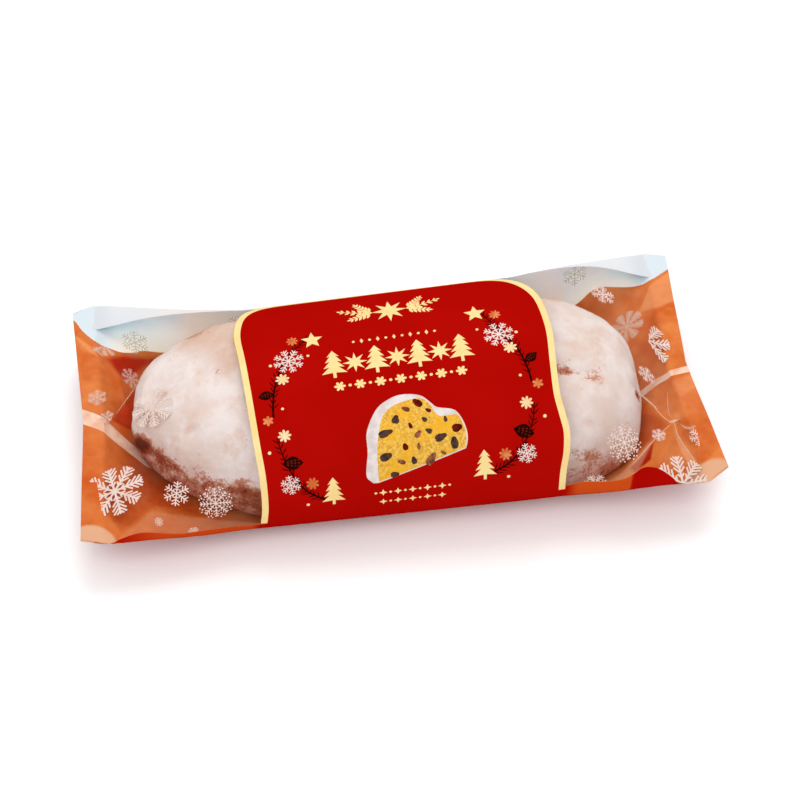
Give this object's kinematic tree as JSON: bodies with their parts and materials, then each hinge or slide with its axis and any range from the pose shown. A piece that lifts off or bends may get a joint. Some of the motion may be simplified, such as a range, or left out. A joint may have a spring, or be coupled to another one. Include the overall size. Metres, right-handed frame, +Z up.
{
  "type": "packed stollen loaf",
  "caption": "Sugar-dusted stollen loaf sealed in a flow-wrap film pack, red label field with gold border, clear snowflake windows at both ends and flat end seals.",
  "frame": {"origin": "middle of the pack's footprint, on the surface it lies on", "axes": "+X along the loaf towards the taller right end, -Y towards the front of the pack, +Z up"},
  "size_m": [0.345, 0.175, 0.0759],
  "materials": {
    "printed_film": "red printed film, satin gloss",
    "clear_film": "clear film, glossy",
    "gold_print": "pale gold ink, satin",
    "white_print": "white ink, satin",
    "sugared_crust": "powder sugar over brown crust, matte"
  },
  "bodies": {
    "root": {"film_pack": "printed_film"}
  },
  "joints": []
}
